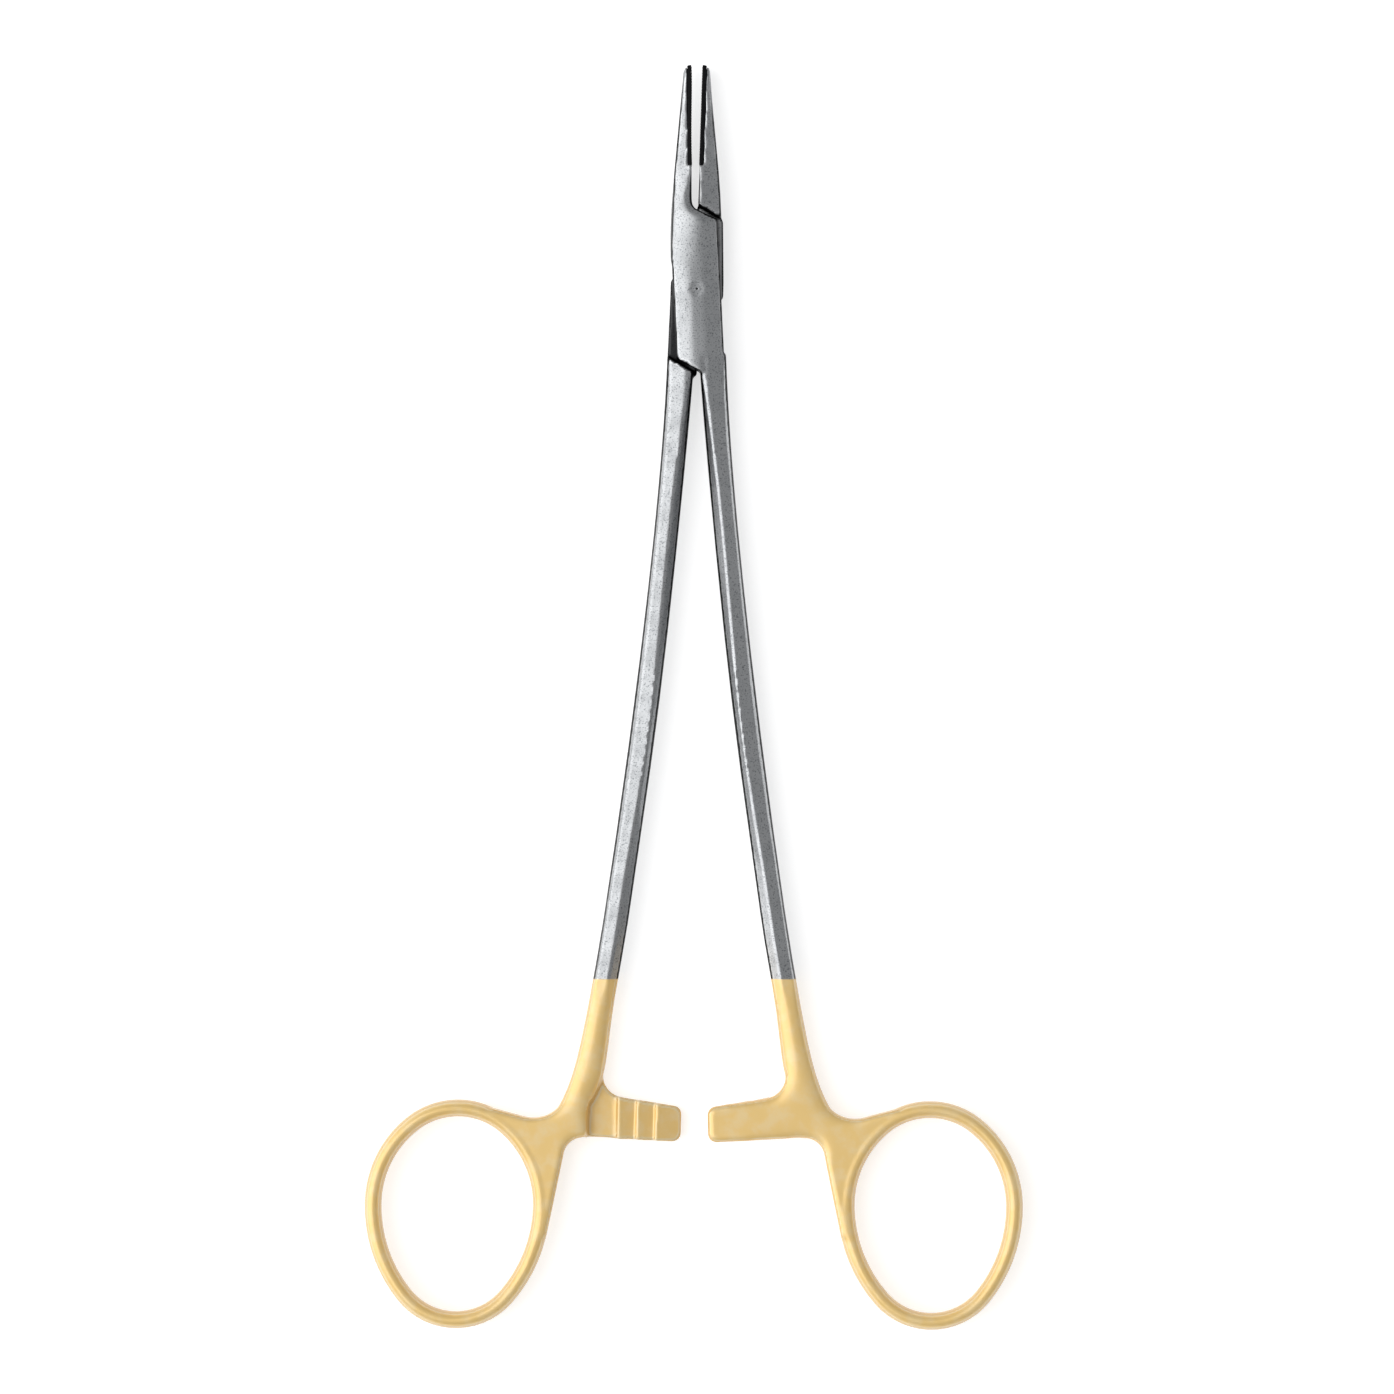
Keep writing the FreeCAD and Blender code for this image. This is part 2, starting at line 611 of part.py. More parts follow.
def tang_half(spread):
    """One half of the tang's outline, from its knee round its upper end; spread widens that end."""
    inset = "(slotInset-tangGap)"
    inside = f"({SHOULDER_REACH}+tangOverlap)"
    root = "(jawRootWidth-2*tangNeck)"
    return [
        ("-tangHalfWidth", "tangHalfWidth*tan(stopAngle/2)"),
        (f"-{inset}", stop_wall("tangHalfWidth", f"-{inset}")),
        (f"-{inset}", slanted(SHOULDER_REACH, f"-{inset}")),
        ("tangNeck", slanted(inside, "tangNeck")),
        (root, slanted(inside, root)),
        (f"(tangHalfWidth+({spread}))", "cheekReach-tangEndMargin"),
        ("tangHalfWidth", "tangWaist"),
    ]


def add_tang(body):
    """The tang that joins the right jaw to the left shank through the slot."""
    lower = [(f"-({x})", f"-({y})") for x, y in tang_half("tangFootFlare")]
    sketch = polygon_sketch(body, "tang_outline", "XY_Plane", tang_half("-tangJawTaper") + lower, MID)
    return pad(body, "tang", sketch, TANG_HEIGHT)


def cut_insert_seat(body, side):
    """The seat of the insert along the jaw, and the relief between its heel and the box."""
    beyond = "jawReach+cutMargin"
    crotch = slanted("cheekReach", "0")
    relief = "heelGap+jawRelief"
    outline = [
        (beside_seam("-cutMargin", side, beyond), beyond),
        (beside_seam("insertThickness", side, beyond), beyond),
        (beside_seam("insertThickness", side, INSERT_HEEL), INSERT_HEEL),
        (beside_seam(relief, side, INSERT_HEEL), INSERT_HEEL),
        (beside_seam(relief, side, crotch), crotch),
        (beside_seam("-cutMargin", side, crotch), crotch),
    ]
    sketch = polygon_sketch(body, "insert_seat_outline", "XY_Plane", outline, MID)
    return pocket(body, "insert_seat", sketch, "2*boxThickness")


def cut_round(body, name, radius):
    """A round hole through everything at the pivot."""
    sketch = new_sketch(body, f"{name}_outline", "XY_Plane", MID)
    add_circle(sketch, radius)
    return pocket(body, name, sketch, "2*boxThickness")


def build_female():
    """Left jaw, both cheeks of the box, right shank and ring; the ratchet faces down."""
    side = -1
    body = new_body("female_half", side)
    add_plate(body, side, "femaleBarOverrun")
    add_ring(body, side)
    add_ratchet(body, side, -1, "femaleBarOverrun")
    add_box(body)
    add_jaw(body, side)
    add_shank(body, side)
    cut_slot(body)
    cut_insert_seat(body, side)
    cut_round(body, "pin_seat", "pinRadius")
    return body


def build_male():
    """Right jaw, the tang through the box, left shank and ring; the ratchet faces up."""
    side = 1
    body = new_body("male_half", side)
    add_plate(body, side, "maleBarOverrun")
    add_ring(body, side)
    add_ratchet(body, side, 1, "maleBarOverrun")
    add_jaw(body, side)
    add_shank(body, side)
    cut_shoulders(body)
    add_tang(body)
    cut_insert_seat(body, side)
    cut_round(body, "bore", "pinRadius+pinRunning")
    return body


def build_insert(name, side):
    """A thin carbide strip that fills the seat along one jaw, from its heel to the rounded tip."""
    body = new_body(name, side)
    add_jaw(body, side)
    beyond = "jawReach+cutMargin"
    below = "jawStep-cutMargin"
    outline = [
        (beside_seam("insertThickness", side, beyond), beyond),
        (beside_seam("insertThickness", side, INSERT_HEEL), INSERT_HEEL),
        (beside_seam("-cutMargin", side, INSERT_HEEL), INSERT_HEEL),
        (beside_seam("-cutMargin", side, below), below),
        (f"{side}*(jawRootWidth+cutMargin)", below),
        (f"{side}*(jawRootWidth+cutMargin)", beyond),
    ]
    sketch = polygon_sketch(body, "insert_limits", "XY_Plane", outline, MID)
    pocket(body, "insert_trim", sketch, "2*boxThickness")
    return body


def build_pin():
    """The pin through the box, its ends ground to the faces of the cheeks and marked at the centre."""
    body = new_body("box_lock_pin", -1)
    section = polygon_sketch(body, "pin_section", "XZ_Plane", roof_section("pinRecess"), "0", "boxLean")
    pad(body, "pin_block", section, "4*pinRadius")
    sketch = new_sketch(body, "pin_turning_outline", "XY_Plane", MID)
    add_circle(sketch, "2*(boxHalfWidth+pinRadius)")
    add_circle(sketch, "pinRadius")
    pocket(body, "pin_turning", sketch, "2*boxThickness")
    sketch = new_sketch(body, "centre_mark_outline", "XY_Plane", "boxThickness")
    add_circle(sketch, "pinDimple")
    pocket(body, "centre_mark", sketch, "pinRecess+pinDimple", centred=False)
    return body


def failed():
    """Objects that did not recompute, and sub-parts without a sound solid."""
    names = [item.Name for item in doc.Objects if {"Invalid", "Error"} & set(item.State)]
    for body in sub_parts:
        shape = body.Shape
        if shape.isNull() or not shape.isValid() or len(shape.Solids) != 1:
            names.append(body.Label)
    return names


sub_parts = [
    build_female(),
    build_male(),
    build_insert("female_jaw_insert", -1),
    build_insert("male_jaw_insert", 1),
    build_pin(),
]
doc.recompute()
if failed():
    raise RuntimeError("failed: " + ", ".join(failed()))
os.makedirs("parts", exist_ok=True)
for body in sub_parts:
    body.Shape.exportStep(f"parts/{body.Label}.step")
    print(f"{body.Label}: {body.Shape.Volume:.1f} mm3")
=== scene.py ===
import bpy, bmesh
import numpy as np
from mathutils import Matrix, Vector


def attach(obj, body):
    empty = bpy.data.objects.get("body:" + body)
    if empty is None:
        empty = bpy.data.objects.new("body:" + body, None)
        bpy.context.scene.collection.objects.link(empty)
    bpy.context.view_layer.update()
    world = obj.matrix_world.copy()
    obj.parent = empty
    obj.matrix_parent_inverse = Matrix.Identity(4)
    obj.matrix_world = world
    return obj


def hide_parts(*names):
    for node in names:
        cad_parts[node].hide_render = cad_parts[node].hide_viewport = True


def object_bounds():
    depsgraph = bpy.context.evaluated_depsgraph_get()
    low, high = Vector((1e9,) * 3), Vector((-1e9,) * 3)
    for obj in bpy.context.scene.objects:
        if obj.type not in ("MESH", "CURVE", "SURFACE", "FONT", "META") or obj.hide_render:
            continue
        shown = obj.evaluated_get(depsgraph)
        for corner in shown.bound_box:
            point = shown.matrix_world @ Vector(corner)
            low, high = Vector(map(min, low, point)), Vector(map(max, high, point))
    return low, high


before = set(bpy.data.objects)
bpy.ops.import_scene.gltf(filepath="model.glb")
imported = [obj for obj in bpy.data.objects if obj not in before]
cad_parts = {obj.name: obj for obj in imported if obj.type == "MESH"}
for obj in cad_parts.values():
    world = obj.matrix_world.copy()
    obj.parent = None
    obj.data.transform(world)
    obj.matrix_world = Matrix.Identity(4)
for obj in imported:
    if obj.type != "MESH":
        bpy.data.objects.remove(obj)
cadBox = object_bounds()
print("frame loaded:", ", ".join(sorted(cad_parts)))

mm = 0.001
middleHeight = 2.9 * mm              # half the thickness of the box lock
sameSpot = 0.002 * mm                # corners of a solid's mesh nearer than this are one


def addObject(name, data):
    item = bpy.data.objects.new(name, data)
    bpy.context.collection.objects.link(item)
    return item


# camera: straight above, long lens, framed on the whole instrument
cameraSetup = {
    "height": 1.1,
    "frameWidth": 1394 * 0.1423 * mm,        # 1394 pixels of 0.1423 mm
    "middle": (0.0, -57.95 * mm, middleHeight),
    "sensor": 36.0,
    "farthest": 10.0,
}


def makeCamera():
    s = cameraSetup
    data = bpy.data.cameras.new("overheadCamera")
    data.sensor_width = s["sensor"]
    data.lens = s["sensor"] * s["height"] / s["frameWidth"]
    data.clip_end = s["farthest"]
    camera = addObject("overheadCamera", data)
    camera.location = Vector(s["middle"]) + Vector((0, 0, s["height"]))
    bpy.context.scene.camera = camera


# small helpers for node trees
def newMaterial(name):
    material = bpy.data.materials.new(name)
    material.use_nodes = True
    tree = material.node_tree
    return material, tree, tree.nodes["Principled BSDF"]


def mathNode(tree, operation, first, second=0.0):
    node = tree.nodes.new("ShaderNodeMath")
    node.operation = operation
    for socket, value in zip(node.inputs, (first, second)):
        if isinstance(value, bpy.types.NodeSocket):
            tree.links.new(value, socket)
        else:
            socket.default_value = value
    return node.outputs[0]


def rangeNode(tree, value, low, high, toLow=0.0, toHigh=1.0):
    node = tree.nodes.new("ShaderNodeMapRange")
    node.interpolation_type = "SMOOTHSTEP"
    tree.links.new(value, node.inputs["Value"])
    ends = {"From Min": low, "From Max": high, "To Min": toLow, "To Max": toHigh}
    for name, number in ends.items():
        node.inputs[name].default_value = number
    return node.outputs["Result"]


def noiseNode(tree, vector, size, detail):
    node = tree.nodes.new("ShaderNodeTexNoise")
    node.inputs["Scale"].default_value = 1 / size
    node.inputs["Detail"].default_value = detail
    tree.links.new(vector, node.inputs["Vector"])
    return node.outputs["Fac"]


def attributeNode(tree, name):
    node = tree.nodes.new("ShaderNodeAttribute")
    node.attribute_name = name
    return node.outputs["Fac"]


def mixColor(tree, factor, first, second):
    node = tree.nodes.new("ShaderNodeMix")
    node.data_type = "RGBA"
    tree.links.new(factor, node.inputs["Factor"])
    for name, value in (("A", first), ("B", second)):
        if isinstance(value, bpy.types.NodeSocket):
            tree.links.new(value, node.inputs[name])
        else:
            node.inputs[name].default_value = (*value, 1)
    return node.outputs["Result"]


def mixNumber(tree, factor, first, second):
    node = tree.nodes.new("ShaderNodeMix")
    tree.links.new(factor, node.inputs["Factor"])
    node.inputs["A"].default_value = first
    node.inputs["B"].default_value = second
    return node.outputs["Result"]


def bumpNode(tree, shader, height, depth):
    node = tree.nodes.new("ShaderNodeBump")
    node.inputs["Distance"].default_value = depth
    tree.links.new(height, node.inputs["Height"])
    tree.links.new(node.outputs[0], shader.inputs["Normal"])
    return node


# studio: one long soft panel on the left, a weaker one on the right, a dim room above
studioSetup = {
    "leftPlace": (-1.25, -0.05, 0.95),
    "leftSize": (3.0, 1.7),
    "leftGlow": 1.75,                # light given off by each part of the panel
    "rightPlace": (1.1, 0.2, 1.2),
    "rightSize": (1.6, 0.7),
    "rightGlow": 0.12,
    "room": (0.36, 0.363, 0.367),
    "floorSize": 8.0,
    "floorColor": (0.78, 0.78, 0.78),
    "floorRoughness": 0.9,
    "floorGlow": 0.62,               # seen only by the camera and in reflections
}


def addPanel(name, place, size, glow):
    data = bpy.data.lights.new(name, "AREA")
    data.shape = "RECTANGLE"
    data.size, data.size_y = size
    data.energy = glow * np.pi * size[0] * size[1]
    light = addObject(name, data)
    light.location = place
    aim = Vector(cameraSetup["middle"]) - Vector(place)
    light.rotation_euler = aim.to_track_quat("-Z", "X").to_euler()


def makeStudio():
    s = studioSetup
    addPanel("leftPanel", s["leftPlace"], s["leftSize"], s["leftGlow"])
    addPanel("rightPanel", s["rightPlace"], s["rightSize"], s["rightGlow"])
    world = bpy.data.worlds.new("dimRoom")
    world.use_nodes = True
    world.node_tree.nodes["Background"].inputs["Color"].default_value = (*s["room"], 1)
    bpy.context.scene.world = world
    bpy.context.scene.view_settings.view_transform = "Standard"


def makeFloor():
    s = studioSetup
    bpy.ops.mesh.primitive_plane_add(size=s["floorSize"], location=(0, 0, 0))
    floor = bpy.context.object
    floor.name = "studioFloor"
    material, tree, shader = newMaterial("whitePaperFloor")
    shader.inputs["Base Color"].default_value = (*s["floorColor"], 1)
    shader.inputs["Roughness"].default_value = s["floorRoughness"]
    shader.inputs["Specular IOR Level"].default_value = 0.0
    shader.inputs["Emission Color"].default_value = (1, 1, 1, 1)
    rays = tree.nodes.new("ShaderNodeLightPath").outputs
    seen = mathNode(tree, "ADD", rays["Is Camera Ray"], rays["Is Glossy Ray"])
    seen = mathNode(tree, "ADD", seen, rays["Is Transmission Ray"])
    glow = mathNode(tree, "MULTIPLY", seen, s["floorGlow"])
    tree.links.new(glow, shader.inputs["Emission Strength"])
    floor.data.materials.append(material)


# satin steel, gilt from above the ratchet down: grain, cloudy tone, painted edge shade and a
# painted pale highlight line on the steel, and painted shade and painted pale highlights along the
# edges and crests of the gilding
steelFinish = {
    "color": (0.46, 0.47, 0.48),
    "darkSpeck": (0.21, 0.22, 0.23),
    "roughness": 0.31,
    "speckSize": 0.20 * mm,
    "speckDetail": 1.5,
    "speckRange": (0.52, 0.70),
    "speckDepth": 0.010 * mm,
    "speckBump": 0.6,
    "cloudSize": 2.2 * mm,
    "cloudDetail": 4.0,
    "cloudRange": (0.35, 0.75),
    "cloudShare": 0.22,
    "cloudRoughRange": (0.3, 0.7),
    "cloudRough": (-0.03, 0.04),     # added to the roughness between the clouds and on them
    # painted edge shade: near-black standing in for shade and dark reflections on steep edges
    "paintedEdgeShadeColor": (0.012, 0.012, 0.013),
    # painted pale highlight line just inside the painted edge shade
    "paintedHighlightColor": (0.80, 0.81, 0.82),
    "paintedHighlightShare": 0.45,
    "markColor": (0.02, 0.02, 0.02),
    "markRadius": 0.16 * mm,         # small near-black dot on the pivot's axis, top and bottom
    "markBlur": 0.3,
    "giltEdge": -98.05 * mm,
    "giltEdgeWidth": 0.2 * mm,
    "giltColor": (1.0, 0.69, 0.255),
    # pale gilt: random cloudy tone, and also the painted highlight on the gilding's edges and
    # crests
    "giltPaleToneAndHighlight": (1.0, 0.86, 0.58),
    # painted shade on the gilding's edges, by the painted edge shade mask
    "giltPaintedShade": (0.80, 0.50, 0.16),
    "giltPaintedShadeShare": 0.7,
    "giltCloudRange": (0.40, 0.70),
    "giltCloudShare": 0.30,
    # share of the painted pale highlight line on the gilding
    "giltPaintedHighlightShare": 0.8,
    "giltBump": 0.15,
    "giltMetal": 0.25,               # thin satin plating scatters much of its light
    "giltRoughness": 0.40,
    "giltLacquer": 0.7,
    "lacquerRoughness": 0.22,
}


def pivotMark(tree, place):
    f = steelFinish
    flat = tree.nodes.new("ShaderNodeVectorMath")
    flat.operation = "MULTIPLY"
    flat.inputs[1].default_value = (1, 1, 0)
    reach = tree.nodes.new("ShaderNodeVectorMath")
    reach.operation = "LENGTH"
    tree.links.new(place, flat.inputs[0])
    tree.links.new(flat.outputs[0], reach.inputs[0])
    inner = f["markRadius"] * (1 - f["markBlur"])
    outer = f["markRadius"] * (1 + f["markBlur"])
    return rangeNode(tree, reach.outputs["Value"], inner, outer, 1.0, 0.0)


def makeSteel():
    f = steelFinish
    material, tree, shader = newMaterial("satinSteelPartGilt")
    place = tree.nodes.new("ShaderNodeTexCoord").outputs["Object"]
    split = tree.nodes.new("ShaderNodeSeparateXYZ")
    tree.links.new(place, split.inputs[0])
    half = f["giltEdgeWidth"] / 2
    giltTop, giltFull = f["giltEdge"] + half, f["giltEdge"] - half
    gilt = rangeNode(tree, split.outputs["Y"], giltFull, giltTop, 1.0, 0.0)

    # masks read from the skin: painted edge shade, painted pale highlight line, painted crest
    # highlight
    edge = attributeNode(tree, "paintedEdgeShadeShare")
    line = attributeNode(tree, "paintedHighlightLine")
    crest = attributeNode(tree, "paintedCrestHighlight")
    speck = noiseNode(tree, place, f["speckSize"], f["speckDetail"])
    cloud = noiseNode(tree, place, f["cloudSize"], f["cloudDetail"])

    speckShare = rangeNode(tree, speck, *f["speckRange"])
    specked = mixColor(tree, speckShare, f["color"], f["darkSpeck"])
    cloudShare = rangeNode(tree, cloud, *f["cloudRange"], 0.0, f["cloudShare"])
    clouded = mixColor(tree, cloudShare, specked, f["darkSpeck"])
    marked = mixColor(tree, pivotMark(tree, place), clouded, f["markColor"])
    # painted pale highlight line on the steel
    paintedHighlightShare = mathNode(tree, "MULTIPLY", line, f["paintedHighlightShare"])
    lined = mixColor(tree, paintedHighlightShare, marked, f["paintedHighlightColor"])
    # painted edge shade darkens the steel along its steep edges
    steelEdgeShaded = mixColor(tree, edge, lined, f["paintedEdgeShadeColor"])

    giltShare = rangeNode(tree, cloud, *f["giltCloudRange"], 0.0, f["giltCloudShare"])
    giltCloud = mixColor(tree, giltShare, f["giltColor"], f["giltPaleToneAndHighlight"])
    # painted shade along the gilding's edges
    giltShadeAmount = mathNode(tree, "MULTIPLY", edge, f["giltPaintedShadeShare"])
    giltEdgeShaded = mixColor(tree, giltShadeAmount, giltCloud, f["giltPaintedShade"])
    # painted pale highlights on the gilding's edge lines and crests
    bright = mathNode(tree, "MAXIMUM", crest, mathNode(tree, "MULTIPLY", line, f["giltPaintedHighlightShare"]))
    giltHighlighted = mixColor(tree, bright, giltEdgeShaded, f["giltPaleToneAndHighlight"])
    tree.links.new(mixColor(tree, gilt, steelEdgeShaded, giltHighlighted), shader.inputs["Base Color"])

    rough = mixNumber(tree, gilt, f["roughness"], f["giltRoughness"])
    cloudRough = rangeNode(tree, cloud, *f["cloudRoughRange"], *f["cloudRough"])
    tree.links.new(mathNode(tree, "ADD", rough, cloudRough), shader.inputs["Roughness"])
    bump = bumpNode(tree, shader, speck, f["speckDepth"])
    tree.links.new(mixNumber(tree, gilt, f["speckBump"], f["giltBump"]), bump.inputs["Strength"])
    tree.links.new(mixNumber(tree, gilt, 1.0, f["giltMetal"]), shader.inputs["Metallic"])
    tree.links.new(mixNumber(tree, gilt, 0.0, f["giltLacquer"]), shader.inputs["Coat Weight"])
    shader.inputs["Coat Roughness"].default_value = f["lacquerRoughness"]
    return material


# dark sintered carbide
carbideFinish = {
    "color": (0.004, 0.004, 0.005),
    "paleGrain": (0.022, 0.022, 0.024),
    "roughness": 0.6,
    "metal": 0.2,
    "gloss": 0.15,
    "grainSize": 0.12 * mm,
    "grainDetail": 2.0,
    "grainRange": (0.55, 0.75),
    "grainDepth": 0.012 * mm,
}


def makeCarbide():
    f = carbideFinish
    material, tree, shader = newMaterial("sinteredCarbide")
    place = tree.nodes.new("ShaderNodeTexCoord").outputs["Object"]
    grain = noiseNode(tree, place, f["grainSize"], f["grainDetail"])
    grainShare = rangeNode(tree, grain, *f["grainRange"])
    grained = mixColor(tree, grainShare, f["color"], f["paleGrain"])
    tree.links.new(grained, shader.inputs["Base Color"])
    bumpNode(tree, shader, grain, f["grainDepth"])
    shader.inputs["Metallic"].default_value = f["metal"]
    shader.inputs["Specular IOR Level"].default_value = f["gloss"]
    shader.inputs["Roughness"].default_value = f["roughness"]
    return material


# meshes taken from the solids, and finished pieces
def mergedCopy(nodeNames):
    copy = bmesh.new()
    for name in nodeNames:
        copy.from_mesh(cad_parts[name].data)
    bmesh.ops.remove_doubles(copy, verts=copy.verts, dist=sameSpot)
    return copy


def meshFrom(copy, name):
    mesh = bpy.data.meshes.new(name)
    copy.to_mesh(mesh)
    copy.free()
    return mesh


def finishedMesh(item):              # keeps the mesh that a modifier makes, not the item
    bpy.context.view_layer.update()
    shaped = item.evaluated_get(bpy.context.evaluated_depsgraph_get())
    mesh = bpy.data.meshes.new_from_object(shaped)
    bpy.data.objects.remove(item)
    return mesh


def addPiece(pieceName, mesh, nodeName, body):
    piece = addObject(pieceName, mesh)
    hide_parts(nodeName)
    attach(piece, body)
    print(pieceName, "made of", len(mesh.polygons), "faces")


# each half is a forging: one closed skin over the solid, its blends flowed together by hand work
forgingSetup = {
    "skinCell": 0.22 * mm,
    "flowSteps": (0.50, 0.52),       # smoothing, then slightly more back, so that nothing shrinks
    "edgeEasing": 4,                 # rounds of smoothing over the whole skin
    "ringTop": -113.0 * mm,
    "ringFade": 3 * mm,
    "ringEasing": 14,                # further rounds on the ring
    "blends": {                      # x, y, reach across and along, in mm from the pivot; strength
        "femaleForging": (
            (-2.0, 9.5, 5.0, 7.0, 1.0),
            (15.0, -112.0, 11.0, 13.0, 1.0),
            (21.0, -134.7, 2.5, 5.0, 0.2),
        ),
        "maleForging": (
            (-15.0, -112.0, 8.0, 13.0, 1.0),
            (-22.2, -134.8, 2.5, 5.0, 0.2),
        ),
    },
    "blendRounds": 90,
    "blendStep": 0.5,
    "blendFade": (1.0, 0.4),         # share of the reach where a blend begins, and is full
    "blendDepth": (0.3 * mm, 1.2 * mm),      # from mid depth, so that the outline stays
    "levelRounds": 2,
    "sideTilt": (0.32, 0.18),        # how level the skin still is where it counts as a side wall
    "sideSpread": 14,                # rounds by which a side wall is felt on the faces above it
    "darkStart": (0.022, 0.040),     # share of side wall where the painted edge shade begins, and is full
    "lineStart": (0.006, 0.014),     # and where a thin painted pale highlight line inside it does
    "darkEnd": (0.92, 0.66),         # and where it has ended on the wall itself
    "levelShare": 5.0,               # how much more of it a level face needs than a steep one
    "levelTilt": (0.60, 0.90),
    "gripLength": (15 * mm, 17 * mm),        # beside the inserts the painted edge shade is nearly gone
    "gripReach": (2.3 * mm, 1.8 * mm),
    "gripShare": 0.85,
    "crestSpread": 2,
    "crestBend": (0.040, 0.090),     # bend of the skin where the painted crest highlight begins, and is full
    "lockReach": (11.5 * mm, 1.7 * mm),      # half length and half thickness of the tang
    "lockFade": (1.0 * mm, 0.2 * mm),
    "lockPaintedShade": (0.92, 0.35),        # painted shade on the tang where it lies lower than the cheeks, darker on their left than on their right
}


def closedSkin(nodeNames):
    item = addObject("solidCopy", meshFrom(mergedCopy(nodeNames), "solidCopy"))
    remesh = item.modifiers.new("closedSkin", "REMESH")
    remesh.mode = "VOXEL"
    remesh.voxel_size = forgingSetup["skinCell"]
    return finishedMesh(item)


def readRows(items, field, width, kind):
    rows = np.empty(len(items) * width, dtype=kind)
    items.foreach_get(field, rows)
    return rows.reshape(-1, width)


def ramp(values, start, full):
    return np.clip((values - start) / (full - start), 0, 1)


def neighbourMean(values, ends, counts):
    total = np.zeros_like(values)
    for axis in range(values.shape[1]):
        total[:, axis] += np.bincount(ends[:, 0], values[ends[:, 1], axis], len(values))
        total[:, axis] += np.bincount(ends[:, 1], values[ends[:, 0], axis], len(values))
    return total / counts[:, None]


def spread(values, ends, counts, rounds):
    for step in range(rounds):
        values = 0.5 * values + 0.5 * neighbourMean(values, ends, counts)
    return values


def flow(points, ends, counts, rounds, weight):
    forward, back = forgingSetup["flowSteps"]
    for step in range(rounds):
        points = points + forward * weight * (neighbourMean(points, ends, counts) - points)
        points = points - back * weight * (neighbourMean(points, ends, counts) - points)
    return points


def easeSkin(points, ends, counts, blends):
    s = forgingSetup
    points = flow(points, ends, counts, s["edgeEasing"], 1.0)
    onRing = ramp(points[:, 1:2], s["ringTop"], s["ringTop"] - s["ringFade"])
    points = flow(points, ends, counts, s["ringEasing"], onRing)
    for x, y, across, along, strength in blends:
        aside = (points[:, 0] - x * mm) / (across * mm)
        away = np.hypot(aside, (points[:, 1] - y * mm) / (along * mm))
        depth = np.abs(points[:, 2] - middleHeight)
        weight = strength * ramp(away, *s["blendFade"]) * ramp(depth, *s["blendDepth"])
        weight = s["blendStep"] * weight[:, None]
        for step in range(s["blendRounds"]):
            points = points + weight * (neighbourMean(points, ends, counts) - points)
    return np.clip(points, *cadBox)


# what the steel reads from the skin: painted edge shade, a painted pale highlight line inside it,
# and painted highlights on crests
def paintedEdgeLight(points, normals, ends, counts, body):
    s = forgingSetup
    level = np.abs(spread(normals, ends, counts, s["levelRounds"])[:, 2:3])
    side = spread(ramp(level, *s["sideTilt"]), ends, counts, s["sideSpread"])[:, 0]
    needed = 1 + (s["levelShare"] - 1) * ramp(level[:, 0], *s["levelTilt"])
    nearSide = side / needed
    # painted pale highlight line just inside the painted edge shade
    line = ramp(nearSide, *s["lineStart"]) * ramp(nearSide, *reversed(s["darkStart"]))
    # painted edge shade: dark where the skin turns into a side wall
    dark = ramp(nearSide, *s["darkStart"]) * ramp(side, *s["darkEnd"])
    byInsert = ramp(points[:, 1], *s["gripLength"]) * ramp(np.abs(points[:, 0]), *s["gripReach"])
    dark *= 1 - s["gripShare"] * byInsert
    # painted shade on the tang beside and between the cheeks, stronger on the left
    if body == "male":
        (length, depth), (lengthFade, depthFade) = s["lockReach"], s["lockFade"]
        inside = ramp(np.abs(points[:, 1]), length, length - lengthFade)
        inside *= ramp(np.abs(points[:, 2] - middleHeight), depth, depth - depthFade)
        dark = np.maximum(dark, inside * np.where(points[:, 0] < 0, *s["lockPaintedShade"]))
    # painted highlight where the skin bends sharply, on crests and edges
    bend = 1 - np.linalg.norm(spread(normals, ends, counts, s["crestSpread"]), axis=1)
    return {"paintedEdgeShadeShare": dark, "paintedHighlightLine": line, "paintedCrestHighlight": ramp(bend, *s["crestBend"])}


def makeForging(pieceName, nodeNames, body, material):
    skin = closedSkin(nodeNames)
    points = readRows(skin.vertices, "co", 3, float)
    ends = readRows(skin.edges, "vertices", 2, np.int32)
    counts = np.maximum(np.bincount(ends.ravel(), minlength=len(points)), 1)
    points = easeSkin(points, ends, counts, forgingSetup["blends"][pieceName])
    skin.vertices.foreach_set("co", points.ravel())
    skin.update()
    skin.polygons.foreach_set("use_smooth", np.ones(len(skin.polygons), dtype=bool))
    normals = readRows(skin.vertices, "normal", 3, float)
    for name, values in paintedEdgeLight(points, normals, ends, counts, body).items():
        skin.attributes.new(name, "FLOAT", "POINT").data.foreach_set("value", values)
    skin.materials.clear()
    skin.materials.append(material)
    addPiece(pieceName, skin, nodeNames[0], body)


# jaw inserts: their gripping faces are cross-cut into small pyramids, laid out by a node tree
gripSetup = {
    "pitch": 0.40 * mm,
    "height": 0.07 * mm,
    "sink": 0.004 * mm,              # how far each pyramid's base lies in the face
    "margin": 0.24 * mm,             # kept clear along the edges of the face
}
gripSquare = 0.9                     # how squarely, at least, it looks at the other jaw


